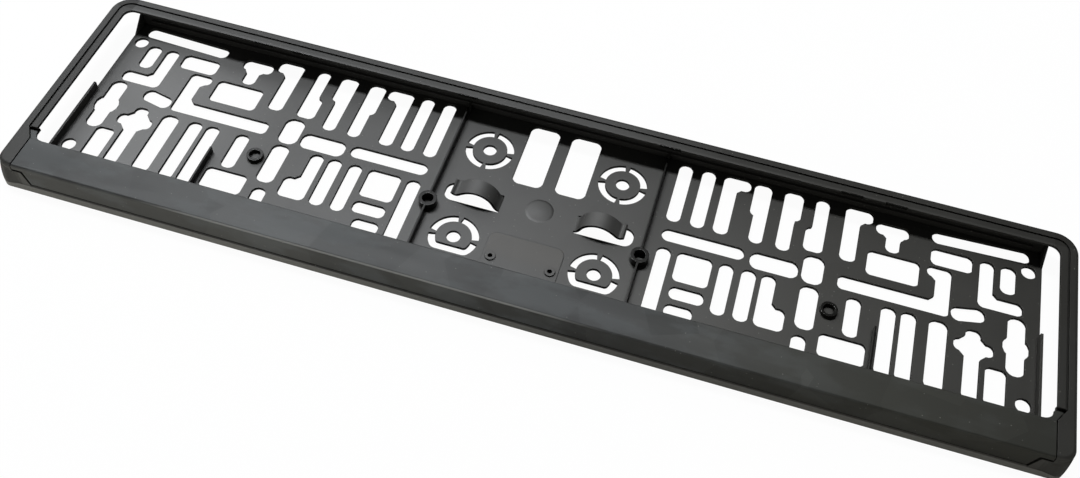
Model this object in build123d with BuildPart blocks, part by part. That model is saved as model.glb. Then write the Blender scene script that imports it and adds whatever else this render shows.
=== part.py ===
from build123d import *
from math import pi, tan
import os

os.makedirs("parts", exist_ok=True)

# Holder outline, lying on its back: X along the plate, Y to its top edge, Z to the front
holder_width = 533.0
holder_height = 130.5
holder_depth = 16.4
front_rake = 2.0
band_rake = 1.3
corner_radius = 11.5
low_corner_rear = 5.0
low_corner_front = 7.0
wall = 2.0

# Rim and lip round the plate window
rim_width = 9.8
side_rim_width = 9.1
rim_edge_radius = 2.0
window_radius = 5.0
lip_thickness = 1.5
skirt_depth = 9.0
groove_inset = 4.5
groove_width = 1.2
groove_depth = 0.8

# Tray that carries the plate's back
panel_thickness = 1.7
side_gap = 10.5
top_wall_inset = 4.4
rail_height = 6.8
rail_thickness = 1.2
rail_reach = 1.4
rail_setback = 7.0
gusset_length = 10.0
gusset_height = 7.8
edge_rib_thickness = 1.2
edge_rib_height = 4.6
edge_rib_top = 8.0
corner_floor_height = 16.0

# Retaining strip and the seat that the base leaves for it
strip_height = 19.0
strip_thickness = 1.8
strip_setback = 0.3
strip_bend_radius = 1.4
strip_edge_radius = 0.6
seat_inset = 8.9
fit_gap = 0.4
parting_gap = 1.0
block_gap = 1.3
parting_height = 3.5
block_height = 12.0
block_top_length = 4.8
block_slant = 3.0
ear_height = 5.1
ear_reach = 3.0
ear_slant = 4.9
ear_tip_width = 4.0
notch_reach = 4.4
lip_end_gap = 1.8
ear_shelf_length = 22.5
ear_shelf_overlap = 1.8
ear_shelf_gap = 0.8
ear_shelf_thickness = 1.5
band_bevel = 0.4
band_bevel_height = 0.6

# Stop wall for the plate's lower edge, with notches for the strip's tabs
stop_wall_inset = 11.4
stop_wall_top = 13.6
tab_count = 7
tab_end_inset = 41.2
tab_width = 12.0
tab_bottom = 5.5
strip_rib_count = 14
strip_rib_end_inset = 23.2
strip_rib_thickness = 1.2
strip_rib_reach = 5.0

# Break-out rosettes round the four screw holes
bolt_spacing_x = 73.5
bolt_spacing_y = 59.7
bolt_row_middle = 5.15
screw_hole = 7.2
rosette_outer = 26.0
rosette_inner = 18.6
neck_outer = 3.4
neck_inner = 1.2
neck_overrun = 1.0
rosette_flat = 9.6
rosette_flat_width = 4.2
rosette_flat_radius = 4.0

# Spring tongues that press on the plate's back
tongue_root = 20.0
tongue_flank = 24.0
tongue_flank_height = 4.1
tongue_peak = 33.0
tongue_peak_height = 8.6
tongue_fall = 40.8
tongue_fall_height = 5.3
tongue_dip = 43.8
tongue_dip_height = 3.7
tongue_tip = 45.7
tongue_tip_height = 4.8
tongue_end_slope = 1.0
tongue_middle = 2.4
tongue_width = 9.2
tongue_thickness = 1.4
tongue_slit = 1.1
tongue_window_length = 30.4
tongue_window_radius = 4.6

# Ribs, bosses and marks on the panel
long_rib_x = 56.0
long_rib_top_height = 5.3
long_rib_low_height = 4.2
rib_thickness = 1.0
boss_y = -8.9
boss_diameter = 9.5
boss_bore = 6.0
boss_height = 4.6
low_boss_x = 152.0
low_boss_y = -9.2
low_boss_diameter = 8.6
low_boss_bore = 6.0
low_boss_height = 2.4
short_rib_x = 174.8
short_rib_top = -13.0
short_rib_height = 4.0
dome_y = 4.4
dome_radius = 7.4
dome_height = 1.0
field_width = 39.5
field_top = -15.2
field_low = -40.0
field_radius = 5.0
field_rise = 0.25
stud_x = 15.5
stud_y = -30.4
stud_diameter = 5.4
stud_bore = 2.4
stud_height = 1.0
stud_bore_floor = 0.8
bore_sides = 16

# Places worked out from the sizes above
half_width = holder_width / 2
top_edge = holder_height / 2
bottom_edge = -holder_height / 2
front_edge = bottom_edge + front_rake
band_edge = bottom_edge + band_rake
window_side = half_width - side_rim_width
window_top = top_edge - rim_width
panel_side = half_width - wall - side_gap
tray_top = top_edge - top_wall_inset
lip_back = holder_depth - lip_thickness
skirt_back = holder_depth - skirt_depth
strip_face = holder_depth - strip_setback
strip_back = strip_face - strip_thickness
seat_side = half_width - seat_inset
strip_side = seat_side - fit_gap
strip_top = front_edge + strip_height
tab_reach = strip_side - tab_end_inset
strip_rib_reach_x = strip_side - strip_rib_end_inset
ear_top = strip_top + ear_height
lip_end = ear_top + lip_end_gap
ear_shelf_top = strip_back - ear_shelf_gap
stop_wall_y = bottom_edge + stop_wall_inset
bolt_x = bolt_spacing_x / 2
bolt_top = bolt_row_middle + bolt_spacing_y / 2
bolt_bottom = bolt_row_middle - bolt_spacing_y / 2

# Rows of the slot lattice
row_top = 59.35
row_mid = 20.0
band_top = 14.7
low_top = 2.6
low_mid = -28.6
low_end = -37.0
hidden_end = -42.0

# Plain openings: left, right, bottom, top, corner radius; the last two are a slot and its round bulge
plain_openings = [
    (63.1, 70.4, row_mid, row_top, 3.4),
    (75.7, 83.0, row_mid, row_top, 3.4),
    (166.9, 193.7, 19.3, 34.7, 3.0),
    (198.3, 219.7, 36.1, 46.5, 3.4),
    (233.6, 241.6, 29.5, 46.4, 3.6),
    (109.6, 134.4, 4.4, band_top, 4.4),
    (136.0, 146.9, 4.2, 21.7, 4.6),
    (63.4, 70.8, hidden_end, low_top, 3.4),
    (74.2, 92.2, -15.5, low_top, 3.0),
    (74.7, 92.1, -26.3, -18.8, 3.2),
    (74.4, 88.5, low_end, -29.5, 3.2),
    (95.9, 103.2, low_mid, low_top, 3.4),
    (107.2, 114.7, low_mid, low_top, 3.4),
    (136.9, 146.5, -23.3, low_top, 4.0),
    (136.9, 144.3, hidden_end, -27.3, 3.4),
    (160.0, 167.6, -20.6, low_top, 3.4),
    (149.7, 172.6, -35.6, -22.5, 3.0),
    (177.2, 184.9, low_end, low_top, 3.4),
    (187.1, 194.9, low_end, low_top, 3.4),
    (200.8, 210.3, low_end, low_top, 4.0),
    (229.0, 239.4, low_end, -16.1, 3.0),
    (238.4, 247.6, -17.5, 16.5, 4.4),
    (236.5, 249.5, -7.6, 5.4, 6.4),
]

# Openings made of boxes that run into each other: corner radius, cut across the inner corners,
# then the boxes, each as left, right, bottom, top
joined_openings = [
    (3.4, 2.0, (87.7, 95.5, row_mid, row_top), (87.7, 102.3, 51.2, row_top)),
    (3.4, 0.8, (106.4, 113.6, row_mid, row_top), (104.2, 113.6, 37.2, row_top)),
    (3.4, 0.8, (120.4, 127.8, row_mid, row_top), (120.4, 130.6, 40.5, row_top)),
    (3.4, 0.8, (137.1, 144.4, 24.0, row_top), (134.1, 144.4, 24.0, 39.6)),
    (3.4, 2.0, (152.8, 161.2, 24.0, row_top), (152.8, 167.4, 50.8, row_top)),
    (3.4, 1.8, (175.0, 182.5, 36.5, 54.2), (169.2, 186.6, 46.7, 54.2)),
    (3.4, 2.4, (223.1, 230.6, 17.6, 46.4), (223.1, 245.5, 17.6, 25.3)),
    (3.0, 2.2, (201.8, 209.9, 6.1, 34.7), (154.2, 209.9, 6.1, 14.4), (197.2, 209.9, 28.4, 34.7)),
    (3.4, 2.4, (117.4, 124.8, low_mid, low_top), (117.4, 132.2, low_mid, -15.5)),
    (3.2, 2.6, (218.6, 226.4, low_end, low_top), (213.2, 232.8, -10.9, -3.9)),
]

# Level slots for screws at other spacings
screw_slot_x = 85.0
screw_slot_y = 10.85
screw_slot_length = 43.0
screw_slot_width = 7.7

# Slanted slots: middle x, middle y, length, width, turn in degrees
slanted_openings = [
    (222.9, 54.6, 50.0, 7.5, 2.2),
    (219.1, 10.9, 17.0, 8.2, 12.0),
]

# Round holes near the panel's corners
corner_hole = 7.6
corner_hole_x = 247.5
corner_hole_top = 46.5
corner_hole_bottom = -32.2

# Pair of large openings each side of the middle
middle_opening_inner = 3.4
middle_opening_outer = 19.8
middle_opening_low = 18.2
middle_opening_radius = 4.0

# The lattice is laid out for a panel with these edges, and spreads or closes up with the panel
lattice_side = 254.0
lattice_top = 60.85
lattice_bottom = -51.85
slot_roundness = 0.48
touch = 0.001
spread_x = (panel_side - long_rib_x) / (lattice_side - long_rib_x)
spread_y = (tray_top - stop_wall_y - wall) / (lattice_top - lattice_bottom)
lattice_shrink = min(1, spread_x, spread_y)


def across(x):
    """Place along the panel of a lattice point that is laid out at x."""
    return long_rib_x + (x - long_rib_x) * spread_x


def up(y):
    """Height on the panel of a lattice point that is laid out at y."""
    return tray_top + (y - lattice_top) * spread_y


def front_wall_y(z):
    """Y of the bottom wall's outer face at height z: it flares below the parting and is steep above."""
    if z < parting_height:
        return bottom_edge + band_rake * z / parting_height
    return band_edge + (front_rake - band_rake) * (z - parting_height) / (holder_depth - parting_height)


def box_between(x0, x1, y0, y1, mode=Mode.ADD):
    """Rectangle given by its four sides."""
    with Locations(((x0 + x1) / 2, (y0 + y1) / 2)):
        Rectangle(x1 - x0, y1 - y0, mode=mode)


def outline(inset, low_y, low_radius, mode=Mode.ADD):
    """Rounded outline of the holder, inset on the top and sides, with its lower edge at low_y."""
    with BuildSketch(mode=Mode.PRIVATE) as shape:
        box_between(inset - half_width, half_width - inset, low_y, top_edge - inset)
        fillet(shape.vertices().group_by(Axis.Y)[-1], corner_radius - inset)
        fillet(shape.vertices().group_by(Axis.Y)[0], low_radius - inset)
    add(shape.sketch, mode=mode)


def shell(inset, top, mode=Mode.ADD):
    """Rounded block from the rear plane up to top, inset all round, in two stages about the parting."""
    levels = ((0, low_corner_rear), (parting_height, low_corner_front), (top, low_corner_front))
    sections = []
    for z, low_radius in levels:
        with BuildSketch(Plane.XY.offset(z)) as level:
            outline(inset, front_wall_y(z) + inset, low_radius)
        sections.append(level.sketch.face())
    loft(sections[:2], mode=mode)
    loft(sections[1:], mode=mode)


def even_places(count, reach):
    """Places of count like things, evenly spaced from -reach to reach."""
    return [(2 * i / (count - 1) - 1) * reach for i in range(count)]


def soft_corners(opening, radius):
    """Cuts an opening's corners in two passes, so that each turns in four even steps with few faces."""
    chamfer(opening.vertices(), radius * lattice_shrink * (1 - tan(pi / 8)))
    chamfer(opening.vertices(), radius * lattice_shrink * (tan(pi / 8) - tan(pi / 16)))


def soft_box(x0, x1, y0, y1, radius):
    """Opening between four sides, with soft corners."""
    with BuildSketch(mode=Mode.PRIVATE) as opening:
        box_between(x0, x1, y0, y1)
        soft_corners(opening, radius)
    return opening.sketch


def soft_slot(length, width, turn):
    """Slot about its own middle, turned by an angle, with nearly round ends."""
    with BuildSketch(mode=Mode.PRIVATE) as opening:
        Rectangle(length, width, rotation=turn)
        soft_corners(opening, slot_roundness * width)
    return opening.sketch


def laid_out(x0, x1, y0, y1):
    """The four sides of a lattice opening on the panel as it is."""
    return across(x0), across(x1), up(y0), up(y1)


def joined(radius, inner_cut, *boxes):
    """One opening from boxes that run into each other, with its inner corners cut across."""
    placed = [laid_out(*box) for box in boxes]
    sides = [x for box in placed for x in box[:2]]
    ends = [y for box in placed for y in box[2:]]
    with BuildSketch(mode=Mode.PRIVATE) as opening:
        for box in placed:
            add(soft_box(*box, radius))
        inner_corners = [
            v
            for v in opening.vertices()
            if min(abs(v.X - x) for x in sides) < touch and min(abs(v.Y - y) for y in ends) < touch
        ]
        if inner_corners:
            chamfer(inner_corners, inner_cut * lattice_shrink)
    return opening.sketch


# Neck that holds a rosette's disc, wider at its outer end
with BuildSketch() as neck:
    with BuildLine():
        Polyline(
            (rosette_inner / 4, -neck_inner / 2),
            (rosette_inner / 2, -neck_inner / 2),
            (rosette_outer / 2 + neck_overrun, -neck_outer / 2),
            (rosette_outer / 2 + neck_overrun, neck_outer / 2),
            (rosette_inner / 2, neck_inner / 2),
            (rosette_inner / 4, neck_inner / 2),
            close=True,
        )
    make_face()

# Round rosette: four arcs and the screw hole
with BuildSketch() as round_rosette:
    Circle(rosette_outer / 2)
    Circle(rosette_inner / 2, mode=Mode.SUBTRACT)
    with PolarLocations(0, 4):
        add(neck.sketch, mode=Mode.SUBTRACT)
    Circle(screw_hole / 2)

# Rosette with a flat lower side: outer edge, disc, then the arcs and the screw hole
with BuildSketch() as flat_edge:
    Circle(rosette_outer / 2)
    box_between(-rosette_outer, rosette_outer, -rosette_outer, -rosette_flat, Mode.SUBTRACT)
    fillet(flat_edge.vertices(), rosette_flat_radius)

with BuildSketch() as flat_disc:
    Circle(rosette_inner / 2)
    box_between(
        -rosette_outer, rosette_outer, -rosette_outer, rosette_flat_width - rosette_flat, Mode.SUBTRACT
    )
    fillet(flat_disc.vertices(), rosette_flat_radius / 2)

with BuildSketch() as flat_rosette:
    add(flat_edge.sketch)
    add(flat_disc.sketch, mode=Mode.SUBTRACT)
    with PolarLocations(0, 3, start_angle=0, angular_range=180, endpoint=True):
        add(neck.sketch, mode=Mode.SUBTRACT)
    Circle(screw_hole / 2)


with BuildPart() as base_frame:
    # Outer shell with a rounded front edge, then its hollow
    shell(0, holder_depth)
    fillet(base_frame.faces().sort_by(Axis.Z)[-1].edges(), rim_edge_radius)
    shell(wall, lip_back, Mode.SUBTRACT)

    # Plate window, open at the bottom for the strip and its ears
    with BuildSketch(Plane.XY.offset(holder_depth)) as window:
        with BuildLine():
            Polyline(
                (0, window_top),
                (window_side, window_top),
                (window_side, lip_end),
                (seat_side + notch_reach, lip_end),
                (seat_side, strip_top),
                (seat_side, bottom_edge - wall),
                (0, bottom_edge - wall),
                close=True,
            )
        make_face()
        mirror(about=Plane.YZ)
        fillet(window.vertices().group_by(Axis.Y)[-1], window_radius)
    extrude(amount=-lip_thickness, mode=Mode.SUBTRACT)

    # The skirt is shallow along the top and sides, and full depth at the lower corners
    with BuildSketch(Plane.XY):
        box_between(-half_width, half_width, lip_end, top_edge)
    extrude(amount=skirt_back, mode=Mode.SUBTRACT)

    # Shelf behind each notch, just under the strip's ear
    with BuildSketch(Plane.XY.offset(ear_shelf_top)):
        shelf_end = lip_end + ear_shelf_overlap
        box_between(seat_side + fit_gap / 2, half_width - wall / 2, shelf_end - ear_shelf_length, shelf_end)
        mirror(about=Plane.YZ)
    extrude(amount=-ear_shelf_thickness)

    # Seat of the strip's front wall: the bottom wall is a low band between two corner blocks
    with BuildSketch(Plane.XZ.offset(wall - bottom_edge)):
        with BuildLine():
            Polyline(
                (0, holder_depth),
                (seat_side, holder_depth),
                (seat_side, block_height),
                (seat_side - block_top_length, block_height),
                (seat_side - block_top_length - block_slant, parting_height),
                (0, parting_height),
                close=True,
            )
        make_face()
        mirror(about=Plane.YZ)
    extrude(amount=-(2 * wall + front_rake + corner_radius), mode=Mode.SUBTRACT)

    # Bevel along the top of the low band
    with BuildSketch(Plane.YZ):
        with BuildLine():
            Polyline(
                (bottom_edge - wall, parting_height),
                (front_wall_y(parting_height) + band_bevel, parting_height),
                (front_wall_y(parting_height - band_bevel_height), parting_height - band_bevel_height),
                (bottom_edge - wall, parting_height - band_bevel_height),
                close=True,
            )
        make_face()
    extrude(amount=seat_side - block_top_length - block_slant, both=True, mode=Mode.SUBTRACT)

    # Groove that sets the rim's bead off from the lip
    with BuildSketch(Plane.XY.offset(holder_depth)):
        outline(groove_inset, bottom_edge, corner_radius)
        outline(groove_inset + groove_width, bottom_edge, corner_radius, Mode.SUBTRACT)
        box_between(-half_width, half_width, bottom_edge, lip_end, Mode.SUBTRACT)
    extrude(amount=-groove_depth, mode=Mode.SUBTRACT)

    # Panel, with a floor that carries the lower corners
    with BuildSketch(Plane.XY):
        outline(wall / 2, bottom_edge + wall / 2, low_corner_rear)
        box_between(
            -half_width, half_width, bottom_edge + corner_floor_height, top_edge, Mode.SUBTRACT
        )
        box_between(-panel_side, panel_side, bottom_edge + corner_floor_height, tray_top)
    extrude(amount=panel_thickness)

    # Top wall, the rail under the lip and the gussets at its ends
    with BuildSketch(Plane.XY):
        box_between(-panel_side, panel_side, tray_top, top_edge - wall)
    extrude(amount=lip_back)
    with BuildSketch(Plane.XY.offset(rail_height)):
        box_between(rail_setback - panel_side, panel_side - rail_setback, tray_top - rail_reach, tray_top)
    extrude(amount=-rail_thickness)
    with BuildSketch(Plane.YZ.offset(panel_side), Plane.YZ.offset(edge_rib_thickness - panel_side)):
        with BuildLine():
            Polyline(
                (tray_top - gusset_length, panel_thickness),
                (tray_top, panel_thickness),
                (tray_top, panel_thickness + gusset_height),
                close=True,
            )
        make_face()
    extrude(amount=-edge_rib_thickness)

    # Stop wall for the plate, notched for the strip's tabs
    with BuildSketch(Plane.XY.offset(panel_thickness)):
        box_between(-seat_side, seat_side, stop_wall_y, stop_wall_y + wall)
    extrude(amount=stop_wall_top - panel_thickness)
    with BuildSketch(Plane.XY.offset(tab_bottom - fit_gap)):
        with Locations(*[(x, stop_wall_y + wall / 2) for x in even_places(tab_count, tab_reach)]):
            Rectangle(tab_width + 2 * fit_gap, 2 * wall)
    extrude(amount=stop_wall_top, mode=Mode.SUBTRACT)

    # Slot lattice: the right half is drawn, then mirrored
    with BuildSketch(Plane.XY):
        for *sides, radius in plain_openings:
            add(soft_box(*laid_out(*sides), radius))
        for opening_sizes in joined_openings:
            add(joined(*opening_sizes))
        for x, y, length, width, turn in slanted_openings:
            with Locations((across(x), up(y))):
                add(soft_slot(length * spread_x, width * lattice_shrink, turn))
        with Locations((across(screw_slot_x), up(screw_slot_y))):
            SlotOverall(screw_slot_length * spread_x, screw_slot_width * lattice_shrink)
        with Locations(*[(across(corner_hole_x), up(y)) for y in (corner_hole_bottom, corner_hole_top)]):
            Circle(corner_hole * lattice_shrink / 2)
        middle_ends = (up(middle_opening_low), up(row_top))
        add(soft_box(middle_opening_inner, middle_opening_outer, *middle_ends, middle_opening_radius))
        with Locations((bolt_x, bolt_top)):
            add(round_rosette.sketch)
        with Locations((bolt_x, bolt_bottom)):
            add(flat_rosette.sketch)
        mirror(about=Plane.YZ)
    extrude(amount=panel_thickness, mode=Mode.SUBTRACT)

    # Windows of the spring tongues, then the tongues, each rooted at its inner end
    with BuildSketch(Plane.XY) as tongue_windows:
        box_between(
            tongue_root,
            tongue_root + tongue_window_length,
            tongue_middle - tongue_width / 2 - tongue_slit,
            tongue_middle + tongue_width / 2 + tongue_slit,
        )
        fillet(tongue_windows.vertices().group_by(Axis.X)[-1], tongue_window_radius)
        mirror(about=Plane.YZ)
    extrude(amount=panel_thickness, mode=Mode.SUBTRACT)
    with BuildSketch(Plane.XZ.offset(-tongue_middle - tongue_width / 2)):
        with BuildLine():
            Spline(
                (tongue_root - tongue_thickness, panel_thickness / 2),
                (tongue_flank, panel_thickness + tongue_flank_height),
                (tongue_peak, panel_thickness + tongue_peak_height),
                (tongue_fall, panel_thickness + tongue_fall_height),
                (tongue_dip, panel_thickness + tongue_dip_height),
                (tongue_tip, panel_thickness + tongue_tip_height),
                tangents=((1, 0), (1, tongue_end_slope)),
            )
        trace(line_width=tongue_thickness)
        mirror(about=Plane.YZ)
    extrude(amount=tongue_width)

    # Ribs on the panel: the long ones are highest at the top wall
    rib_planes = [Plane.YZ.offset(x - rib_thickness / 2) for x in (-long_rib_x, long_rib_x)]
    with BuildSketch(*rib_planes):
        with BuildLine():
            Polyline(
                (stop_wall_y, panel_thickness),
                (tray_top, panel_thickness),
                (tray_top, panel_thickness + long_rib_top_height),
                (stop_wall_y, panel_thickness + long_rib_low_height),
                close=True,
            )
        make_face()
    extrude(amount=rib_thickness)
    with BuildSketch(Plane.XY.offset(panel_thickness)):
        rib_x = across(short_rib_x)
        box_between(rib_x - rib_thickness / 2, rib_x + rib_thickness / 2, stop_wall_y, short_rib_top)
        mirror(about=Plane.YZ)
    extrude(amount=short_rib_height)
    with BuildSketch(Plane.XY.offset(panel_thickness)):
        box_between(panel_side - edge_rib_thickness, panel_side, stop_wall_y, edge_rib_top)
        mirror(about=Plane.YZ)
    extrude(amount=edge_rib_height)

    # Tubular bosses on the long ribs, low bosses further out, and their blind bores with few faces
    with BuildSketch(Plane.XY.offset(panel_thickness)):
        with Locations((-long_rib_x, boss_y), (long_rib_x, boss_y)):
            Circle(boss_diameter / 2)
    extrude(amount=boss_height)
    with BuildSketch(Plane.XY.offset(panel_thickness)):
        with Locations((-across(low_boss_x), up(low_boss_y)), (across(low_boss_x), up(low_boss_y))):
            Circle(low_boss_diameter / 2)
    extrude(amount=low_boss_height)
    with BuildSketch(Plane.XY.offset(panel_thickness)):
        with Locations((-long_rib_x, boss_y), (long_rib_x, boss_y)):
            RegularPolygon(boss_bore / 2, bore_sides)
        with Locations((-across(low_boss_x), up(low_boss_y)), (across(low_boss_x), up(low_boss_y))):
            RegularPolygon(low_boss_bore / 2, bore_sides)
    extrude(amount=max(boss_height, long_rib_top_height), mode=Mode.SUBTRACT)

    # Plain raised field with two hollow studs, and the dome above it
    with BuildSketch(Plane.XY.offset(panel_thickness)):
        add(soft_box(-field_width / 2, field_width / 2, field_low, field_top, field_radius))
    extrude(amount=field_rise)
    with BuildSketch(Plane.XY.offset(panel_thickness)):
        with Locations((-stud_x, stud_y), (stud_x, stud_y)):
            Circle(stud_diameter / 2)
    extrude(amount=stud_height)
    with BuildSketch(Plane.XY.offset(stud_bore_floor)):
        with Locations((-stud_x, stud_y), (stud_x, stud_y)):
            RegularPolygon(stud_bore / 2, bore_sides)
    extrude(amount=panel_thickness + stud_height, mode=Mode.SUBTRACT)
    with BuildSketch(Plane.XZ.offset(-dome_y)):
        with BuildLine():
            ThreePointArc(
                (-dome_radius, panel_thickness),
                (0, panel_thickness + dome_height),
                (dome_radius, panel_thickness),
            )
            Line((dome_radius, panel_thickness), (-dome_radius, panel_thickness))
        make_face()
        box_between(-dome_radius, 0, 0, holder_depth, Mode.SUBTRACT)
    revolve(axis=Axis((0, dome_y, 0), (0, 0, 1)))

base_frame.part.label = "base_frame"
export_step(base_frame.part, "parts/base_frame.step")


with BuildPart() as retaining_strip:
    # Face and raked front wall, drawn as one bent section
    strip_foot = parting_height + parting_gap
    with BuildSketch(Plane.YZ) as section:
        with BuildLine():
            Polyline(
                (strip_top, strip_face),
                (front_wall_y(strip_face), strip_face),
                (front_wall_y(strip_foot), strip_foot),
                (front_wall_y(strip_foot) + strip_thickness, strip_foot),
                (front_wall_y(strip_back) + strip_thickness, strip_back),
                (strip_top, strip_back),
                close=True,
            )
        make_face()
        fillet(section.vertices().group_by(Axis.Y)[-1].sort_by(Axis.X)[0], strip_bend_radius)
        fillet(section.vertices().group_by(Axis.Y)[-1].sort_by(Axis.X)[-1], strip_edge_radius)
    extrude(amount=strip_side, both=True)

    # Lower corners of the front wall, cut to clear the base's corner blocks
    with BuildSketch(Plane.XZ.offset(wall - bottom_edge)):
        with BuildLine():
            Polyline(
                (seat_side, parting_height),
                (seat_side, block_height + block_gap),
                (seat_side - block_top_length - block_gap, block_height + block_gap),
                (seat_side - block_top_length - block_slant - block_gap, parting_height),
                close=True,
            )
        make_face()
        mirror(about=Plane.YZ)
    extrude(amount=-(2 * wall + front_rake + corner_radius), mode=Mode.SUBTRACT)

    # Ear at each end, with a hollow curve down to the strip's upper edge
    ear_inner = strip_side + ear_reach - ear_tip_width
    with BuildSketch(Plane.XY.offset(strip_face - strip_edge_radius / 2)):
        with BuildLine():
            CenterArc((ear_inner - ear_height, ear_top), ear_height, 0, -90)
            Polyline(
                (ear_inner - ear_height, strip_top),
                (ear_inner - ear_height, strip_top - strip_thickness),
                (strip_side, strip_top - strip_thickness),
                (strip_side, strip_top),
                (strip_side + ear_reach, strip_top + ear_slant),
                (strip_side + ear_reach, ear_top),
                (ear_inner, ear_top),
            )
        make_face()
        mirror(about=Plane.YZ)
    extrude(amount=strip_edge_radius / 2 - strip_thickness)

    # Tabs that drop into the stop wall's notches
    with BuildSketch(Plane.XY.offset(strip_back)):
        with Locations(*[(x, stop_wall_y + wall / 2) for x in even_places(tab_count, tab_reach)]):
            Rectangle(tab_width, wall)
    extrude(amount=tab_bottom - strip_back)

    # Stiffening ribs in the bend
    rib_places = even_places(strip_rib_count, strip_rib_reach_x)
    with BuildSketch(*[Plane.YZ.offset(x - strip_rib_thickness / 2) for x in rib_places]):
        bend_y = front_wall_y(strip_back) + strip_thickness
        with BuildLine():
            Polyline(
                (bend_y, strip_back),
                (bend_y + strip_rib_reach, strip_back),
                (front_wall_y(strip_back - strip_rib_reach) + strip_thickness, strip_back - strip_rib_reach),
                close=True,
            )
        make_face()
    extrude(amount=strip_rib_thickness)

retaining_strip.part.label = "retaining_strip"
export_step(retaining_strip.part, "parts/retaining_strip.step")
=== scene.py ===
# %% [markdown]
# # A number plate holder in satin black plastic
#
# The holder is two injection mouldings: a base frame with a slotted panel, and a strip that clips
# over its lower edge. Both arrive here as finished solids in real size, so this lesson is mostly
# about finish and light: how to make black plastic read as plastic, with its grain, its soft edges
# and the faint marks of handling. First the solids are loaded, and their box is kept for the corner
# skins and the floor.

# %% Load the solids
import math
import bpy
import numpy as np
from mathutils import Euler, Matrix, Vector


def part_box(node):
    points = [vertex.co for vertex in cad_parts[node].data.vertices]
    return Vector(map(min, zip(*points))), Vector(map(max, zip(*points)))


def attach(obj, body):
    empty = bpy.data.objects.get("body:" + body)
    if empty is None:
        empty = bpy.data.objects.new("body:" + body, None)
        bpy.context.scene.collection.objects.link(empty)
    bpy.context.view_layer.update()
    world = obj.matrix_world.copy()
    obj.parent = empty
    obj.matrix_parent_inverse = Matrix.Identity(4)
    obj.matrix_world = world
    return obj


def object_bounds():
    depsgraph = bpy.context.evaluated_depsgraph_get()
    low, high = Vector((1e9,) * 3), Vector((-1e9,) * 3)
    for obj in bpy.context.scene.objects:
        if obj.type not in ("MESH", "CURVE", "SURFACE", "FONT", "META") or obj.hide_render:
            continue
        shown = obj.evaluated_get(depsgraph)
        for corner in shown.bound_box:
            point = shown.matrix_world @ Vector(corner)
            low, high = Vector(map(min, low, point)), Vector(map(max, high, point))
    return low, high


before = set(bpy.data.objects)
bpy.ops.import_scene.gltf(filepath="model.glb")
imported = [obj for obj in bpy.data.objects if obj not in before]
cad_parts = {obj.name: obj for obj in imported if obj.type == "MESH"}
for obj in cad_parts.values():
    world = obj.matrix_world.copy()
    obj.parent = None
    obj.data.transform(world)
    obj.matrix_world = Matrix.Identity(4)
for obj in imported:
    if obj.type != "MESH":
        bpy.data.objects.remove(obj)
cad_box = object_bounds()
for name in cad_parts:
    low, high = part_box(name)
    print(name, "measures", [round(1000 * (b - a), 1) for a, b in zip(low, high)], "mm")

# %% [markdown]
# ## The camera
#
# The picture was taken from close by, which is why the near right corner looks so large. A camera
# is easiest to read as a place, a point it looks at, a roll and a lens. It could be set by eye, but
# the place and the lens were worked out from the holder's straight edges, which meet at three
# vanishing points. The lens is given as a focal length in pixels of a picture 1080 pixels wide, and
# Blender wants it in millimetres of its 36 mm sensor.

# %% Camera
PICTURE_WIDTH = 1080
FOCAL_PIXELS = 1098.65
CAMERA_PLACE = Vector((0.07559, -0.32645, 0.45552))
CAMERA_AIM = Vector((0.00626, -0.01688, 0.0082))
CAMERA_ROLL = math.radians(4.79)
SENSOR_WIDTH = 36.0
NEAREST_SEEN = 0.01

camera_data = bpy.data.cameras.new("camera")
camera_data.sensor_width = SENSOR_WIDTH
camera_data.lens = FOCAL_PIXELS / PICTURE_WIDTH * SENSOR_WIDTH
camera_data.clip_start = NEAREST_SEEN
camera = bpy.data.objects.new("camera", camera_data)
bpy.context.scene.collection.objects.link(camera)
camera.location = CAMERA_PLACE
facing = (CAMERA_AIM - CAMERA_PLACE).to_track_quat("-Z", "Y")
camera.rotation_mode = "QUATERNION"
camera.rotation_quaternion = facing @ Euler((0, 0, CAMERA_ROLL)).to_quaternion()
bpy.context.scene.camera = camera
print("camera with a lens of", round(camera_data.lens, 2), "mm")

# %% [markdown]
# ## A short way to write materials
#
# A material is a small graph of nodes. Writing each link by hand hides the idea, so one helper adds
# a node and takes its inputs by name: a plain value sets the socket, and the output of another node
# is linked to it. A second helper starts a material with an empty graph.

# %% Node helpers


def connect(tree, socket, value):
    """Links the output of another node to a socket, or sets the socket to a plain value."""
    if isinstance(value, bpy.types.NodeSocket):
        tree.links.new(value, socket)
    else:
        socket.default_value = value


def add_node(tree, kind, settings=None, **inputs):
    """Adds a node, sets its properties from settings, and sets or links its inputs by name."""
    node = tree.nodes.new(kind)
    for key, value in (settings or {}).items():
        setattr(node, key, value)
    for key, value in inputs.items():
        connect(tree, node.inputs[key.replace("_", " ")], value)
    return node


def new_tree(name):
    """Starts an empty material and returns it with its node tree."""
    material = bpy.data.materials.new(name)
    material.use_nodes = True
    material.node_tree.nodes.clear()
    return material, material.node_tree


print("node helpers:", connect.__name__, add_node.__name__, new_tree.__name__)

# %% [markdown]
# ## Sums, soft steps and blends
#
# Every mark on the plastic below comes from the same few sums. A soft step turns a place into a
# mask: 0 on one side, 1 on the other and a smooth passage between, so that no finish ends in a hard
# line. A product of masks is 1 only where all of them are. A painted image could hold the masks
# too, but nodes work them out at each point of the surface, so they stay crisp from close by.

# %% Sums, steps and blends


def calculate(tree, operation, *values):
    """Takes two or more values or sockets together by one operation, from left to right."""
    result = values[0]
    for value in values[1:]:
        node = add_node(tree, "ShaderNodeMath", {"operation": operation})
        connect(tree, node.inputs[0], result)
        connect(tree, node.inputs[1], value)
        result = node.outputs[0]
    return result


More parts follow.
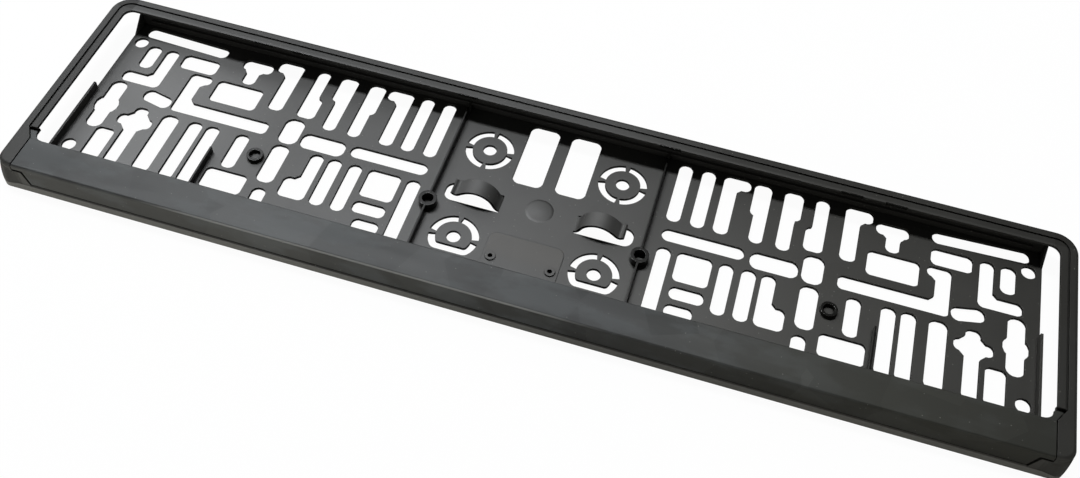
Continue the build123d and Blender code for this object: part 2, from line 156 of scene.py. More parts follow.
def smooth_step(tree, value, start, end, low=0.0, high=1.0):
    """Turns a value into low before start and high after end, with a soft passage between."""
    step = add_node(
        tree,
        "ShaderNodeMapRange",
        {"interpolation_type": "SMOOTHSTEP"},
        Value=value,
        From_Min=start,
        From_Max=end,
        To_Min=low,
        To_Max=high,
    )
    return step.outputs["Result"]


def distance_from(tree, value, middle):
    """How far a value lies from its middle, on either side. ABSOLUTE takes no notice of the 0."""
    return calculate(tree, "ABSOLUTE", calculate(tree, "SUBTRACT", value, middle), 0.0)


def near(tree, value, middle, reach, edge):
    """1 where a value lies within reach of its middle, and softer over the last edge of that reach."""
    return smooth_step(tree, distance_from(tree, value, middle), reach, reach - edge)


def blend(tree, factor, first, second):
    """A colour between two others, each a value or a socket."""
    node = add_node(tree, "ShaderNodeMix", {"data_type": "RGBA"}, Factor=factor, A=first, B=second)
    return node.outputs["Result"]


print("sum helpers:", calculate.__name__, smooth_step.__name__, near.__name__, blend.__name__)

# %% [markdown]
# ## Clouds, specks and wiped patches
#
# Moulded black plastic is not one flat black. Hands leave paler, rougher clouds, a cloth leaves
# patches with straight edges, and a few specks of dust stay on every part. An image of a surface
# could carry all this, but it would be tied to one layout. Patterns worked out from object
# coordinates need no layout, and since those are in metres, each pattern has its real size. The
# helpers below make one pattern each, as a value from 0 to 1.

# %% Patterns
CLOUD_EDGE = (0.38, 0.72)
CLOUD_DETAIL = 5.0
SPECK_CELLS = 380.0
SPECK_RADIUS = 0.10
SPECK_SHARE = 0.35
WIPE_CELLS = 34.0
WIPE_STRETCH = (1.0, 0.8, 0.8)


def handled_clouds(tree, place, scale, stretch, edge=CLOUD_EDGE):
    """Clouds where hands and dust have dulled the surface, crisper with a closer edge."""
    stretched = add_node(tree, "ShaderNodeMapping", Vector=place, Scale=stretch).outputs["Vector"]
    noise = add_node(tree, "ShaderNodeTexNoise", Vector=stretched, Scale=scale, Detail=CLOUD_DETAIL)
    return smooth_step(tree, noise.outputs["Fac"], *edge)


def dust_specks(tree, place):
    """Rare round dots: a cell pattern, of which only a share of the cells shows its middle."""
    cells = add_node(tree, "ShaderNodeTexVoronoi", Vector=place, Scale=SPECK_CELLS)
    dot = smooth_step(tree, cells.outputs["Distance"], SPECK_RADIUS, SPECK_RADIUS / 2)
    chance = add_node(tree, "ShaderNodeSeparateColor", Color=cells.outputs["Color"]).outputs["Red"]
    return calculate(tree, "MULTIPLY", dot, calculate(tree, "LESS_THAN", chance, SPECK_SHARE))


def wiped_patches(tree, place):
    """Patches with straight edges, each wiped a little more or less than its neighbours."""
    stretched = add_node(tree, "ShaderNodeMapping", Vector=place, Scale=WIPE_STRETCH)
    cells = add_node(
        tree, "ShaderNodeTexVoronoi", Vector=stretched.outputs["Vector"], Scale=WIPE_CELLS
    )
    return add_node(tree, "ShaderNodeSeparateColor", Color=cells.outputs["Color"]).outputs["Green"]


print("specks in cells of", round(1000 / SPECK_CELLS, 1), "mm")
print("wiped patches of about", round(1000 / WIPE_CELLS), "mm")

# %% [markdown]
# ## Places on the panel with a finish of their own
#
# The mould isn't polished alike everywhere. The flat field in the panel's middle has a slight brown
# cast, the dome and the two spring tongues are matt, and the ribs and bosses are glossy. The ribs,
# bosses and the tongues' steep flanks are also darkened as painted shade. Separate material slots
# would need the faces sorted by hand, and would end in hard edges.
# Masks from the place alone, in metres, need no sorting and can fade.

# %% Masks on the panel
MASK_EDGE = 0.0012
FIELD_HALF_WIDTH = 0.0198
FIELD_TOP = -0.0152
FIELD_FADE = (-0.034, -0.024)
RAISED_Z = (0.0018, 0.0021)
RAISED_HALF_WIDTH = 0.048
RAISED_Y = 0.0044
RAISED_HALF_DEPTH = 0.009
POST_Z = (0.0019, 0.0024)
POST_Y = 0.005
POST_HALF_DEPTH = 0.051
POST_LINES = (0.056, 0.152, 0.1748)
POST_REACH = 0.0062
POST_EDGE = 0.0010


def moulded_field(tree, axes):
    """1 on the flat field in the panel's middle, fading out towards the strip."""
    across = near(tree, axes["X"], 0.0, FIELD_HALF_WIDTH, MASK_EDGE)
    below = smooth_step(tree, axes["Y"], FIELD_TOP, FIELD_TOP - MASK_EDGE)
    faded = smooth_step(tree, axes["Y"], *FIELD_FADE)
    return calculate(tree, "MULTIPLY", across, below, faded)


def dome_and_tongues(tree, axes):
    """1 on the dome and the two spring tongues, which stand above the panel in its middle."""
    above = smooth_step(tree, axes["Z"], *RAISED_Z)
    across = near(tree, axes["X"], 0.0, RAISED_HALF_WIDTH, MASK_EDGE)
    along = near(tree, axes["Y"], RAISED_Y, RAISED_HALF_DEPTH, MASK_EDGE)
    return calculate(tree, "MULTIPLY", above, across, along)


def ribs_and_bosses(tree, axes):
    """1 on the ribs and bosses that stand on the panel, in lines on both sides of its middle."""
    above = smooth_step(tree, axes["Z"], *POST_Z)
    inside = calculate(tree, "LESS_THAN", distance_from(tree, axes["Y"], POST_Y), POST_HALF_DEPTH)
    beside = distance_from(tree, axes["X"], 0.0)
    lines = [near(tree, beside, line, POST_REACH, POST_EDGE) for line in POST_LINES]
    return calculate(tree, "MULTIPLY", above, inside, calculate(tree, "MAXIMUM", *lines))


print("ribs and bosses", [round(1000 * line, 1) for line in POST_LINES], "mm from the middle")

# %% [markdown]
# ## The painted bend highlight and the flared foot
#
# Along the strip's bend, where its top turns down into its front, a thin pale line is painted in as
# a highlight, mostly left of the middle. Below the parting line the base flares out in a narrow band,
# which is painted paler than the wall above it, standing in for the brighter floor it reflects. A
# highlight is often found from the sharpness of an edge, but here it lies on one known line, so a
# mask of its place says more plainly what is meant.

# %% Masks along the lower edge
BEND_Y = (-0.0617, -0.0621)
BEND_RISE = (0.0151, 0.0155)
BEND_FALL = (0.0160, 0.0159)
BEND_START = (-0.200, -0.150)
BEND_END = (0.060, 0.000)
BAND_Y = (-0.0634, -0.0638)
BAND_Z = (0.0031, 0.0027)


def painted_bend_mask(tree, axes):
    """1 along the strip's bend, where a highlight is painted, fading out towards its ends."""
    line = smooth_step(tree, axes["Y"], *BEND_Y)
    above = smooth_step(tree, axes["Z"], *BEND_RISE)
    below = smooth_step(tree, axes["Z"], *BEND_FALL)
    begun = smooth_step(tree, axes["X"], *BEND_START)
    ended = smooth_step(tree, axes["X"], *BEND_END)
    return calculate(tree, "MULTIPLY", line, above, below, begun, ended)


def flared_foot(tree, axes):
    """1 on the band below the parting line, along the front, which is painted paler."""
    front = smooth_step(tree, axes["Y"], *BAND_Y)
    return calculate(tree, "MULTIPLY", front, smooth_step(tree, axes["Z"], *BAND_Z))


# The line printed as worn is the painted highlight along the bend.
print("worn line from", round(1000 * BEND_START[0]), "to", round(1000 * BEND_END[0]), "mm in X")

# %% [markdown]
# ## How strongly the frame mirrors
#
# Plastic mirrors about 4 percent of the light that falls straight on it, which Blender calls a
# specular level of 0.5. The side rims and the upper rim mirror less than that, the upper rim least
# towards its ends, and the panel's left end mirrors more. Roughness alone would only spread their
# reflections, so here the level itself goes down or up, with soft passages along X.

# %% Gloss of the frame
PLAIN_GLOSS = 0.5
LEAST_GLOSS = 0.15
SIDE_RIM = (0.2538, 0.2548)
TOP_RIM_Y = (0.0560, 0.0575)
TOP_RIM_LEFT = (-0.03, -0.12)
TOP_RIM_RIGHT = (0.00, 0.12)
TOP_RIM_SHIFT = dict(middle=-0.06, left=-0.19, right=-0.25)
PANEL_Z = (0.0030, 0.0022)
PANEL_X = (-0.140, -0.225)
PANEL_SHIFT = 0.32


def side_rim_gloss(tree, axes, gloss):
    """The plain level inside, and the two given levels on the left and right rims."""
    left = smooth_step(tree, axes["X"], -SIDE_RIM[0], -SIDE_RIM[1], PLAIN_GLOSS, gloss[0])
    right = smooth_step(tree, axes["X"], *SIDE_RIM, PLAIN_GLOSS, gloss[1])
    return calculate(tree, "MINIMUM", left, right)


def gloss_shift(tree, axes):
    """More mirroring at the panel's left end, and less towards both ends of the upper rim."""
    panel = smooth_step(tree, axes["Z"], *PANEL_Z, 0.0, PANEL_SHIFT)
    panel = calculate(tree, "MULTIPLY", panel, smooth_step(tree, axes["X"], *PANEL_X))
    middle = TOP_RIM_SHIFT["middle"]
    left = smooth_step(tree, axes["X"], *TOP_RIM_LEFT, middle, TOP_RIM_SHIFT["left"])
    right = smooth_step(tree, axes["X"], *TOP_RIM_RIGHT, middle, TOP_RIM_SHIFT["right"])
    upper = smooth_step(tree, axes["Y"], *TOP_RIM_Y)
    upper = calculate(tree, "MULTIPLY", upper, calculate(tree, "MINIMUM", left, right))
    return calculate(tree, "ADD", panel, upper)


print("specular level", PLAIN_GLOSS, "inside, never under", LEAST_GLOSS, "on the rims")

# %% [markdown]
# ## Reading the surface
#
# Colour, roughness and gloss all depend on the same marks, so these are gathered once, by name. Two
# come from the shape itself. Ambient occlusion tells how open a point is within 2.5 mm, which finds
# the seams and grooves where shade is painted. The upward tilt of the surface tells the tops of the
# dome and the tongues from the tongues' cut edges, which get painted shade too. Along X, the clouds
# of handling fade towards the cleaner right end.

# %% Survey of the surface
SEAM_REACH = 0.0025
SEAM_SHADE = (0.30, 0.75)
SEAM_SAMPLES = 6
FACING_UP = (0.25, 0.60)
SMEAR_SCALE = 20.0
SMEAR_STRETCH = (0.5, 3.0, 3.0)


def survey(tree, look):
    """Reads every mark of the surface by name. Those of one moulding alone are 0 on the other."""
    place = add_node(tree, "ShaderNodeTexCoord").outputs["Object"]
    axes = add_node(tree, "ShaderNodeSeparateXYZ", Vector=place).outputs
    normal = add_node(tree, "ShaderNodeNewGeometry").outputs["Normal"]
    tilt = add_node(tree, "ShaderNodeSeparateXYZ", Vector=normal).outputs["Z"]
    air = add_node(tree, "ShaderNodeAmbientOcclusion", {"samples": SEAM_SAMPLES}, Distance=SEAM_REACH)
    clouds = handled_clouds(tree, place, look["cloud_scale"], look["stretch"], look["cloud_edge"])
    dulled = smooth_step(tree, axes["X"], *look["clean_span"], 1.0, look["clean_share"])
    raised = dome_and_tongues(tree, axes)
    tops = calculate(tree, "MULTIPLY", raised, smooth_step(tree, tilt, *FACING_UP))
    cut_edges = calculate(tree, "SUBTRACT", raised, tops)
    return dict(
        place=place,
        axes=axes,
        dulled=dulled,
        handled=calculate(tree, "MULTIPLY", clouds, dulled),
        smears=handled_clouds(tree, place, SMEAR_SCALE, SMEAR_STRETCH),
        # Where a point is closed in, shade is painted into its colour and its gloss is weakened.
        open_air=smooth_step(tree, air.outputs["AO"], *SEAM_SHADE),
        tops=tops,
        cut_edges=calculate(tree, "MULTIPLY", cut_edges, look["frame_marks"]),
        posts=calculate(tree, "MULTIPLY", ribs_and_bosses(tree, axes), look["frame_marks"]),
        band=calculate(tree, "MULTIPLY", flared_foot(tree, axes), look["frame_marks"]),
        bend=calculate(tree, "MULTIPLY", painted_bend_mask(tree, axes), look["bend_highlight"]),
    )


print("seams are found within", 1000 * SEAM_REACH, "mm")

# %% [markdown]
# ## The colour
#
# Black plastic gets its colour in layers: first the plastic, warmer where it is clean, then dust in
# clouds and specks, then the places with a finish of their own, then painted shade on the ribs,
# bosses and tongue flanks, painted light on the flared band and the bend, and last painted shade
# in the seams. Each layer is one blend over the layers before it, so any of them can be changed
# without touching the rest.

# %% Colour
DUST_SPECK = (0.16, 0.155, 0.14, 1.0)
# Painted shade for seams, grooves, ribs, bosses and the tongues' flanks.
PAINTED_SHADE = (0.004, 0.004, 0.0035, 1.0)
FIELD_BROWN = (0.034, 0.029, 0.022, 1.0)
# Painted light: the colour of the pale flared band, for the brighter floor it reflects.
PAINTED_BAND_LIGHT = (0.085, 0.085, 0.078, 1.0)
# Painted highlight along the strip's bend.
PAINTED_BEND_HIGHLIGHT = (0.20, 0.20, 0.19, 1.0)


def plastic_colour(tree, marks, look):
    """Plastic, dust and specks, painted shade on ribs and cut edges, a painted pale band and a
    painted highlight on the bend, and painted shade in the seams on top.
    """
    tint = blend(tree, marks["dulled"], look["clean"], look["colour"])
    tint = blend(tree, marks["handled"], tint, look["dusty"])
    field = calculate(tree, "MULTIPLY", moulded_field(tree, marks["axes"]), look["field"])
    tint = blend(tree, field, tint, FIELD_BROWN)
    tint = blend(tree, dust_specks(tree, marks["place"]), tint, DUST_SPECK)
    # Painted shade: ribs, bosses and the tongues' steep flanks are darkened.
    dark = calculate(tree, "MAXIMUM", marks["posts"], marks["cut_edges"])
    tint = blend(tree, dark, tint, PAINTED_SHADE)
    # Painted light: the flared band is made paler.
    tint = blend(tree, marks["band"], tint, PAINTED_BAND_LIGHT)
    # Painted highlight along the strip's bend.
    tint = blend(tree, marks["bend"], tint, PAINTED_BEND_HIGHLIGHT)
    # Painted shade in seams and grooves, from ambient occlusion.
    return blend(tree, marks["open_air"], PAINTED_SHADE, tint)


# The grime printed here is the painted shade colour.
print("colour in layers, from the plastic to a grime of", PAINTED_SHADE[:3])

# %% [markdown]
# ## Roughness and gloss
#
# Roughness says how far a reflection spreads, and the specular level how strong it is. Handling and
# smears spread it further, the matt dome and tongues furthest, and the polished ribs and bosses keep
# it tight. Seams, cut edges and well wiped patches weaken it. Two separate sums keep apart what a
# single value would mix up.

# %% Roughness and gloss
RAISED_DULLING = 0.20
RAISED_GLOSS = 0.40
POST_POLISH = -0.24
CUT_EDGE_GLOSS = 0.08


def plastic_roughness(tree, marks, look):
    """The moulding's own sheen, and what each mark adds to it."""
    return calculate(
        tree,
        "ADD",
        calculate(tree, "MULTIPLY", marks["handled"], look["dulling"]),
        calculate(tree, "MULTIPLY", marks["smears"], look["smearing"]),
        calculate(tree, "MULTIPLY", marks["tops"], RAISED_DULLING),
        calculate(tree, "MULTIPLY", marks["posts"], POST_POLISH),
        look["sheen"],
    )


def plastic_gloss(tree, marks, look):
    """The rims' level or the band's, more on the raised tops, then weakened by seams and wiping."""
    rim = side_rim_gloss(tree, marks["axes"], look["rim_gloss"])
    shift = calculate(tree, "MULTIPLY", gloss_shift(tree, marks["axes"]), look["frame_marks"])
    rim = calculate(tree, "MAXIMUM", calculate(tree, "ADD", rim, shift), LEAST_GLOSS)
    gloss = calculate(tree, "MAXIMUM", rim, marks["band"])
    gloss = calculate(tree, "ADD", gloss, calculate(tree, "MULTIPLY", marks["tops"], RAISED_GLOSS))
    cut = smooth_step(tree, marks["cut_edges"], 0.0, 1.0, 1.0, CUT_EDGE_GLOSS)
    wiped = smooth_step(tree, wiped_patches(tree, marks["place"]), 0.0, 1.0, 1.0, 1.0 - look["wiping"])
    return calculate(tree, "MULTIPLY", marks["open_air"], gloss, cut, wiped)


print("raised tops are rougher by", RAISED_DULLING, "and ribs smoother by", -POST_POLISH)

# %% [markdown]
# ## Grain and soft edges
#
# The steel of the mould leaves a fine grain, which spreads the lamp's reflection into a broad grey
# sheen, and no moulded edge is quite sharp. Real geometry for both would take millions of faces. A
# bump from a noise as fine as the grain does for the first, and for the second a bevel of the
# shading alone, which rounds each edge by 0.3 mm, so that it catches the light.

# %% Grain
EDGE_ROUNDING = 0.0003
EDGE_SAMPLES = 6
GRAIN_SCALE = 1400.0
GRAIN_DETAIL = 2.0
GRAIN_DEPTH = 0.00005
GRAIN_STRENGTH = 0.06


def plastic_grain(tree, place):
    """The direction that the surface faces, with rounded edges under a fine grain."""
    rounded = add_node(tree, "ShaderNodeBevel", {"samples": EDGE_SAMPLES}, Radius=EDGE_ROUNDING)
    grain = add_node(tree, "ShaderNodeTexNoise", Vector=place, Scale=GRAIN_SCALE, Detail=GRAIN_DETAIL)
    bump = add_node(tree, "ShaderNodeBump", Strength=GRAIN_STRENGTH, Distance=GRAIN_DEPTH)
    connect(tree, bump.inputs["Height"], grain.outputs["Fac"])
    connect(tree, bump.inputs["Normal"], rounded.outputs["Normal"])
    return bump.outputs["Normal"]


print("grain of about", round(1000 / GRAIN_SCALE, 1), "mm, edges rounded by", 1000 * EDGE_ROUNDING, "mm")

# %% [markdown]
# ## The plastic put together
#
# One shader takes the colour, the roughness, the gloss and the grain. A mix of a matt and a mirroring
# shader could do it too, but the Principled shader already mirrors more at a low angle, as plastic
# does. Its specular tint warms the reflections towards the clean right end.

# %% Satin plastic
PLASTIC_IOR = 1.5


def satin_plastic(name, look):
    """A material of black plastic with the given look."""
    material, tree = new_tree(name)
    marks = survey(tree, look)
    shader = add_node(
        tree,
        "ShaderNodeBsdfPrincipled",
        Base_Color=plastic_colour(tree, marks, look),
        Roughness=plastic_roughness(tree, marks, look),
        IOR=PLASTIC_IOR,
        Specular_IOR_Level=plastic_gloss(tree, marks, look),
        Specular_Tint=blend(tree, marks["dulled"], look["clean_cast"], look["cast"]),
        Normal=plastic_grain(tree, marks["place"]),
    )
    add_node(tree, "ShaderNodeOutputMaterial", Surface=shader.outputs["BSDF"])
    return material


print("plastic with an index of refraction of", PLASTIC_IOR)

# %% [markdown]
# ## The finish of the two mouldings
#
# Both mouldings share one recipe and differ in its settings. The strip is handled most: it is dull
# and faintly blue with dust on the left and in the middle, and cleaner and darker towards its right
# end. Its clouds are small and crisp, and the base's are broad and faint. One dictionary for each
# moulding puts the two side by side, which is easier to compare than two graphs.

# %% Looks of the mouldings
looks = {
    "base_frame": dict(
        frame_marks=1.0,
        colour=(0.0200, 0.0198, 0.0185, 1.0),
        clean=(0.0200, 0.0190, 0.0165, 1.0),
        dusty=(0.029, 0.029, 0.027, 1.0),
        cast=(1.0, 1.0, 1.0, 1.0),
        clean_cast=(1.0, 0.97, 0.86, 1.0),
        clean_span=(-0.05, 0.20),
        clean_share=0.5,
        cloud_scale=16.0,
        cloud_edge=CLOUD_EDGE,
        stretch=(1.0, 1.0, 1.0),
        sheen=0.42,
        dulling=0.05,
        smearing=0.03,
        wiping=0.04,
        rim_gloss=(0.24, 0.31),
        field=0.55,
        bend_highlight=0.0,
    ),
    "retaining_strip": dict(
        frame_marks=0.0,
        colour=(0.0148, 0.0153, 0.0153, 1.0),
        clean=(0.0085, 0.0085, 0.0065, 1.0),
        dusty=(0.039, 0.042, 0.043, 1.0),
        cast=(0.98, 1.0, 1.0, 1.0),
        clean_cast=(1.0, 1.0, 0.86, 1.0),
        clean_span=(0.03, 0.19),
        clean_share=0.22,
        cloud_scale=30.0,
        cloud_edge=(0.45, 0.60),
        stretch=(1.0, 2.2, 2.2),
        sheen=0.50,
        dulling=0.05,
        smearing=0.09,
        wiping=0.20,
        rim_gloss=(PLAIN_GLOSS, PLAIN_GLOSS),
        field=0.0,
        bend_highlight=0.9,
    ),
}
plastics = {}
for name, look in looks.items():
    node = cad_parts[name]
    node.data.materials.clear()
    plastics[name] = satin_plastic(name + "_plastic", look)
    node.data.materials.append(plastics[name])
    print(name, "has a finish of", len(plastics[name].node_tree.nodes), "nodes")

# %% [markdown]
# ## Fuller lower corners
#
# On the real holder the two lower corners run down to the floor as one full, rounded form. The
# solids flare at the foot and pull in at the parting line above it, which leaves a slight waist in
# the corner. A thin skin over each corner closes it. Sculpting or a shrinkwrap could do this too,
# but a formula says exactly where the skin lies. At each height its outline is a straight run along
# the side, a quarter of a circle and a straight run along the front, all in millimetres.

# %% Outline of the corner skin
MILLIMETRE = 0.001
HALF_WIDTH = cad_box[1].x / MILLIMETRE
FOOT_Y = cad_box[0].y / MILLIMETRE
FOOT_RADIUS, RIM_RADIUS = 5.0, 7.0
PARTING_Z, PARTING_IN = 3.5, 1.3
RIM_Z, RIM_IN = 14.4, 1.89
FULLNESS = 2.0
# Above the corner block the front run is shorter, to keep clear of the strip.
REACH_Z, REACH = (11.0, 12.0), (12.0, 8.2)
SIDE_POINTS, ARC_POINTS, FRONT_POINTS = 6, 24, 8
SIDE_OVERLAP, FRONT_OVERLAP = 0.5, 0.4
ARC_GAP = 0.1
BULGE_INSET = 3.0


def soft(value, start, end):
    """0 before start and 1 after end. Between them it is the share s of the way, as s squared times
    3 less 2 s, which starts and ends level."""
    share = np.clip((value - start) / (end - start), 0.0, 1.0)
    return share * share * (3 - 2 * share)


def corner_outline(z):
    """X, Y and the turn of each point, a row for each height. The radius grows from foot to rim with
    the square of the height, and the front bulges from the solid's wall to that same curve, most at
    the side and not at all where the front run ends."""
    rise = (z / RIM_Z) ** FULLNESS
    radius = FOOT_RADIUS + (RIM_RADIUS - FOOT_RADIUS) * rise
    wall_y = FOOT_Y + np.interp(z, (0, PARTING_Z, RIM_Z), (0, PARTING_IN, RIM_IN))
    bulge = wall_y - (FOOT_Y + RIM_IN * rise)
    run_end = HALF_WIDTH - np.maximum(np.interp(z, REACH_Z, REACH), radius + FRONT_OVERLAP)
    run_start = HALF_WIDTH - radius - ARC_GAP
    side_top, side_low = wall_y + RIM_RADIUS + SIDE_OVERLAP, wall_y + radius + ARC_GAP
    arc = np.linspace(0, np.pi / 2, ARC_POINTS)
    side_x = np.full((len(z), SIDE_POINTS), HALF_WIDTH)
    side_y = side_top + (side_low - side_top) * np.linspace(0, 1, SIDE_POINTS)
    front_x = run_start + (run_end - run_start) * np.linspace(0, 1, FRONT_POINTS)
    front_y = wall_y + np.zeros(FRONT_POINTS)
    x = np.hstack([side_x, HALF_WIDTH - radius + radius * np.cos(arc), front_x])
    y = np.hstack([side_y, wall_y + radius - radius * np.sin(arc), front_y])
    y = y - bulge * soft(x, run_end, HALF_WIDTH - BULGE_INSET)
    return x, y, np.hstack([np.zeros(SIDE_POINTS), arc, np.full(FRONT_POINTS, np.pi / 2)])


print("an outline has", SIDE_POINTS + ARC_POINTS + FRONT_POINTS, "points")

# %% [markdown]
# ## The skins as pieces
#
# Each border of a skin dips a tenth of a millimetre into the solid, so the skin seems to grow out of
# it and no rim shows. The left skin is the mirror image of the right one, with its faces wound the
# other way round so that they still point outwards. Solidify gives the sheet a wall to the inside,
# and the skin hangs from an empty named for the base.

# %% Corner skins
SKIN_FOOT = 0.2
SKIN_ROWS = 25
SKIN_DIP = 0.1
SKIN_WALL = 0.0004
# The dips at both ends of the outline are counted in its points, those at foot and rim in millimetres.
SIDE_DIP, FRONT_DIP = (0, 9), (29, 37)
FOOT_DIP, RIM_DIP = (0.0, 0.6), (12.5, RIM_Z)

z = np.linspace(SKIN_FOOT, RIM_Z, SKIN_ROWS)[:, None]
x, y, turn = corner_outline(z)
number = np.arange(len(turn))
sunk = np.maximum(1 - soft(number, *SIDE_DIP), soft(number, *FRONT_DIP))
sunk = np.maximum(sunk, np.maximum(1 - soft(z, *FOOT_DIP), soft(z, *RIM_DIP)))
x = x - SKIN_DIP * sunk * np.cos(turn)
y = y + SKIN_DIP * sunk * np.sin(turn)
skin_points = np.stack([x, y, z + np.zeros_like(x)], axis=-1)
index = np.arange(x.size).reshape(x.shape)
quads = [index[:-1, :-1], index[1:, :-1], index[1:, 1:], index[:-1, 1:]]
quads = np.stack(quads, axis=-1).reshape(-1, 4)

for name, side in (("right_corner_skin", 1), ("left_corner_skin", -1)):
    points = skin_points.reshape(-1, 3) * (side, 1, 1) * MILLIMETRE
    faces = quads if side > 0 else quads[:, ::-1]
    skin_mesh = bpy.data.meshes.new(name)
    skin_mesh.from_pydata(points.tolist(), [], faces.tolist())
    skin_mesh.polygons.foreach_set("use_smooth", [True] * len(faces))
    skin_mesh.materials.append(plastics["base_frame"])
    skin = bpy.data.objects.new(name, skin_mesh)
    bpy.context.scene.collection.objects.link(skin)
    wall = skin.modifiers.new("wall", "SOLIDIFY")
    wall.thickness = SKIN_WALL
    wall.offset = -1.0
    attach(skin, "base")
    print(name, "has", len(faces), "faces")

# %% [markdown]
# ## The floor
#
# The holder lies on its back on a plain pale floor. A shadow catcher could stand in for it, but one
# large square also shows in the reflections of the plastic. It lies a hair lower than the solids,
# because two surfaces in exactly the same place would flicker.

# %% Floor
FLOOR_REACH = 20.0
FLOOR_DROP = 0.0004

floor_mesh = bpy.data.meshes.new("floor")
corners = np.array([(-1, -1), (1, -1), (1, 1), (-1, 1)]) * FLOOR_REACH
floor_points = np.column_stack([corners, np.full(4, cad_box[0].z - FLOOR_DROP)])
floor_mesh.from_pydata(floor_points.tolist(), [], [(0, 1, 2, 3)])
floor = bpy.data.objects.new("floor", floor_mesh)
bpy.context.scene.collection.objects.link(floor)
print("floor at", round(1000 * floor_points[0, 2], 2), "mm")

# %% [markdown]
# ## A white floor that keeps the shadow
#
# To the camera the floor should read as white, and a lamp strong enough for that would also wash
# out the black plastic. So the floor glows for the eye and for reflections alone, which the Light
# Path node can tell apart, and a small share of it stays matt and takes the holder's faint shadow.
# In reflections the glow is painted light and shade: weaker on the right, a painted shadow with
# almost no glow under the holder and behind it, a painted brighter pool further in front, and
# slightly warm.

# %% Floor finish
FLOOR_GLOW = 0.96
FLOOR_MATT = (0.9, 0.9, 0.9, 1.0)
WHITE = (1.0, 1.0, 1.0, 1.0)
MIRRORED_CAST = (1.0, 0.98, 0.88, 1.0)
# Painted light for reflections: weaker to the right, a painted shadow under and behind the holder, and a
# brighter pool in front.
MIRRORED_X, MIRRORED_GLOW = (-0.15, 0.08), (0.85, 0.28)
SHADED_Y, SHADED_GLOW = (-0.067, -0.060), (1.0, 0.03)
FRONT_Y, FRONT_GLOW = (-0.085, -0.130), (1.0, 2.4)

pale, tree = new_tree("pale_floor")
spot = add_node(tree, "ShaderNodeTexCoord").outputs["Object"]
axes = add_node(tree, "ShaderNodeSeparateXYZ", Vector=spot).outputs
mirrored = calculate(
    tree,
    "MULTIPLY",
    smooth_step(tree, axes["X"], *MIRRORED_X, *MIRRORED_GLOW),
    smooth_step(tree, axes["Y"], *SHADED_Y, *SHADED_GLOW),
    smooth_step(tree, axes["Y"], *FRONT_Y, *FRONT_GLOW),
)
rays = add_node(tree, "ShaderNodeLightPath").outputs
seen = [rays["Is Camera Ray"], rays["Is Glossy Ray"], rays["Is Transmission Ray"]]
seen = calculate(tree, "MAXIMUM", *seen)
share = add_node(tree, "ShaderNodeMapRange", Value=seen, To_Max=FLOOR_GLOW).outputs["Result"]
strength = add_node(tree, "ShaderNodeMix", Factor=rays["Is Glossy Ray"], A=1.0, B=mirrored)
cast = blend(tree, rays["Is Glossy Ray"], WHITE, MIRRORED_CAST)
glow = add_node(tree, "ShaderNodeEmission", Color=cast, Strength=strength.outputs["Result"])
matt = add_node(tree, "ShaderNodeBsdfDiffuse", Color=FLOOR_MATT)
mixed = add_node(tree, "ShaderNodeMixShader", Fac=share)
connect(tree, mixed.inputs[1], matt.outputs["BSDF"])
connect(tree, mixed.inputs[2], glow.outputs["Emission"])
add_node(tree, "ShaderNodeOutputMaterial", Surface=mixed.outputs["Shader"])
floor_mesh.materials.append(pale)
print("floor finish of", len(tree.nodes), "nodes")

# %% [markdown]
# ## Five boxes of light
#
# The key hangs high on the left and a little behind. It is long but narrow, so the lip throws a
# clear shadow on the panel while the ribs throw soft ones. A dim, broad box further back fills that
# shadow and gives the panel its sheen. One at the left end lights what leans that way, such as one
# flank of each spring tongue. Two low ones in front light the strip's bend and the flared band below
# it, where a highlight and a paler band are also painted into the colour. Lamps in a table can be
# tuned one by one; a picture of a studio on the world could not.

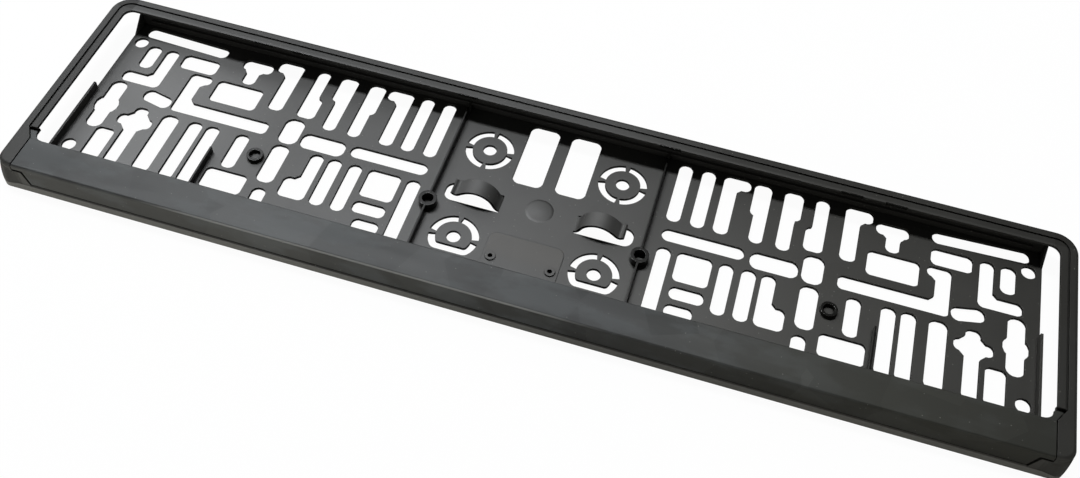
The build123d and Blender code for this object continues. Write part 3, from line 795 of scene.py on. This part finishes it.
# %% Lamps
COOL = (0.98, 1.0, 1.02)
WARM = (1.0, 0.98, 0.92)
LAMPS = {
    "key_lamp": dict(
        towards=(-0.25, 0.33, 1.0), distance=2.5, size=(1.6, 0.30), watts=53.0, colour=COOL
    ),
    "back_lamp": dict(
        towards=(-0.62, 0.75, 1.0), distance=2.0, size=(1.5, 1.0), watts=3.6, colour=COOL
    ),
    "side_lamp": dict(
        towards=(-0.80, 0.62, 0.50), distance=2.2, size=(1.6, 0.9), watts=11.0, colour=COOL
    ),
    "front_left_lamp": dict(
        towards=(-0.60, -0.80, 0.30), distance=2.0, size=(1.6, 0.7), watts=4.5, colour=WARM
    ),
    "front_right_lamp": dict(
        towards=(0.45, -0.85, 0.34), distance=2.0, size=(1.6, 0.7), watts=4.0, colour=WARM
    ),
}


def area_lamp(name, towards, distance, size, watts, colour):
    """A box of light that faces the holder's middle, with its long side along the holder."""
    data = bpy.data.lights.new(name, "AREA")
    data.shape = "RECTANGLE"
    data.size, data.size_y = size
    data.energy = watts
    data.color = colour
    lamp = bpy.data.objects.new(name, data)
    bpy.context.scene.collection.objects.link(lamp)
    back = Vector(towards).normalized()
    side = (Vector((1, 0, 0)) - back * back.x).normalized()
    turned = Matrix((side, back.cross(side), back)).transposed()
    lamp.matrix_world = Matrix.Translation(back * distance) @ turned.to_4x4()


for name, settings in LAMPS.items():
    area_lamp(name, **settings)
print(len(LAMPS), "lamps of", sum(lamp["watts"] for lamp in LAMPS.values()), "W together")

# %% [markdown]
# ## The room
#
# What the lamps leave is a dim room, palest near its floor, as pale walls and tables are. The world
# shader gives it as a glow that depends on the height alone. The view transform is set to Standard,
# so that a colour comes out as it is written.

# %% World
WORLD_HEIGHT, WORLD_GLOW = (0.04, 0.45), (0.45, 0.05)

world = bpy.data.worlds.new("studio")
bpy.context.scene.world = world
world.use_nodes = True
sky = world.node_tree
height = add_node(sky, "ShaderNodeTexCoord").outputs["Generated"]
height = add_node(sky, "ShaderNodeSeparateXYZ", Vector=height).outputs["Z"]
background = sky.nodes["Background"].inputs
connect(sky, background["Strength"], smooth_step(sky, height, *WORLD_HEIGHT, *WORLD_GLOW))
connect(sky, background["Color"], WHITE)
bpy.context.scene.view_settings.view_transform = "Standard"
print("room glows from", WORLD_GLOW[0], "low down to", WORLD_GLOW[1], "high up")
